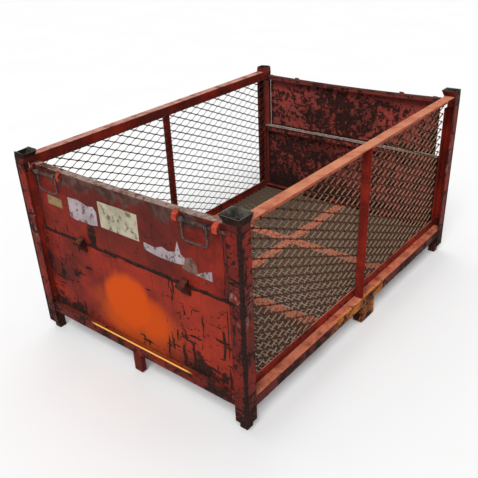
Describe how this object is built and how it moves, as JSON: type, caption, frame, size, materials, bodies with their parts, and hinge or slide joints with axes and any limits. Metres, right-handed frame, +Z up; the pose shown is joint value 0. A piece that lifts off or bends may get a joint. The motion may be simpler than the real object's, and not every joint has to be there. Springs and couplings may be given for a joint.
{
  "type": "wire mesh container",
  "caption": "Stackable steel container with expanded metal sides and floor, solid end panels, drop gates with slide bolts, stacking cups and fork entry.",
  "frame": {"origin": "on the ground, midway between the feet", "axes": "+Z up, +Y from the front end to the back end along the length, +X across the width to the right"},
  "size_m": [1.03, 1.514, 0.762],
  "materials": {
    "red_paint": "worn dark red paint with black grime",
    "dusty_paint": "red paint rubbed pale and dusty",
    "mesh_paint": "thin red paint worn to brown steel",
    "latch_paint": "brighter red paint, chipped",
    "bare_steel": "bare and dulled by handling",
    "cup_steel": "dark, rubbed bright along the rim",
    "grimy_steel": "black grime over paint"
  },
  "bodies": {
    "frame": {"front_left_post": "red_paint", "front_left_stacking_cup": "cup_steel", "front_left_foot": "grimy_steel", "front_right_post": "red_paint", "front_right_stacking_cup": "cup_steel", "front_right_foot": "grimy_steel", "back_left_post": "red_paint", "back_left_stacking_cup": "cup_steel", "back_left_foot": "grimy_steel", "back_right_post": "red_paint", "back_right_stacking_cup": "cup_steel", "back_right_foot": "grimy_steel", "left_base_rail": "red_paint", "left_bottom_angle": "dusty_paint", "left_top_rail": "dusty_paint", "left_front_upright": "red_paint", "left_back_upright": "red_paint", "left_mid_post": "red_paint", "left_mesh_panel": "mesh_paint", "left_mid_foot": "red_paint", "right_base_rail": "red_paint", "right_bottom_angle": "dusty_paint", "right_top_rail": "dusty_paint", "right_front_upright": "red_paint", "right_back_upright": "red_paint", "right_mid_post": "red_paint", "right_mesh_panel": "mesh_paint", "right_mid_foot": "red_paint", "centre_beam": "dusty_paint", "floor_mesh": "mesh_paint", "front_cross_member": "dusty_paint", "back_cross_member": "dusty_paint", "front_base_rail": "red_paint", "front_mid_foot": "red_paint", "front_lower_panel": "red_paint", "front_left_hinge_bracket": "red_paint", "front_right_hinge_bracket": "red_paint", "back_base_rail": "red_paint", "back_mid_foot": "red_paint", "back_lower_panel": "red_paint", "back_left_hinge_bracket": "red_paint", "back_right_hinge_bracket": "red_paint"},
    "front_gate": {"front_gate_sheet": "red_paint", "front_left_latch_inner_guide": "latch_paint", "front_left_latch_outer_guide": "latch_paint", "front_right_latch_inner_guide": "latch_paint", "front_right_latch_outer_guide": "latch_paint"},
    "back_gate": {"back_gate_sheet": "red_paint", "back_left_latch_inner_guide": "latch_paint", "back_left_latch_outer_guide": "latch_paint", "back_right_latch_inner_guide": "latch_paint", "back_right_latch_outer_guide": "latch_paint"},
    "front_left_bolt": {"front_left_latch_bolt": "bare_steel"},
    "front_left_handle": {"front_left_latch_handle": "bare_steel"},
    "front_right_bolt": {"front_right_latch_bolt": "bare_steel"},
    "front_right_handle": {"front_right_latch_handle": "bare_steel"},
    "back_left_bolt": {"back_left_latch_bolt": "bare_steel"},
    "back_left_handle": {"back_left_latch_handle": "bare_steel"},
    "back_right_bolt": {"back_right_latch_bolt": "bare_steel"},
    "back_right_handle": {"back_right_latch_handle": "bare_steel"}
  },
  "joints": [
    {"name": "front_gate_hinge", "type": "hinge", "parent": "frame", "child": "front_gate", "pos_m": [0, -0.748, 0.47], "axis": [1, 0, 0], "range_deg": [0, 180]},
    {"name": "front_left_bolt_slide", "type": "slide", "parent": "front_gate", "child": "front_left_bolt", "axis": [-1, 0, 0], "range_m": [0, 0.016]},
    {"name": "front_left_handle_swing", "type": "hinge", "parent": "front_left_bolt", "child": "front_left_handle", "pos_m": [-0.362, -0.735, 0.701], "axis": [1, 0, 0], "range_deg": [-150, 0]},
    {"name": "front_right_bolt_slide", "type": "slide", "parent": "front_gate", "child": "front_right_bolt", "axis": [1, 0, 0], "range_m": [0, 0.016]},
    {"name": "front_right_handle_swing", "type": "hinge", "parent": "front_right_bolt", "child": "front_right_handle", "pos_m": [0.334, -0.735, 0.701], "axis": [1, 0, 0], "range_deg": [-150, 0]},
    {"name": "back_gate_hinge", "type": "hinge", "parent": "frame", "child": "back_gate", "pos_m": [0, 0.748, 0.47], "axis": [-1, 0, 0], "range_deg": [0, 180]},
    {"name": "back_left_bolt_slide", "type": "slide", "parent": "back_gate", "child": "back_left_bolt", "axis": [-1, 0, 0], "range_m": [0, 0.016]},
    {"name": "back_left_handle_swing", "type": "hinge", "parent": "back_left_bolt", "child": "back_left_handle", "pos_m": [-0.362, 0.735, 0.701], "axis": [-1, 0, 0], "range_deg": [-150, 0]},
    {"name": "back_right_bolt_slide", "type": "slide", "parent": "back_gate", "child": "back_right_bolt", "axis": [1, 0, 0], "range_m": [0, 0.016]},
    {"name": "back_right_handle_swing", "type": "hinge", "parent": "back_right_bolt", "child": "back_right_handle", "pos_m": [0.334, 0.735, 0.701], "axis": [-1, 0, 0], "range_deg": [-150, 0]}
  ]
}
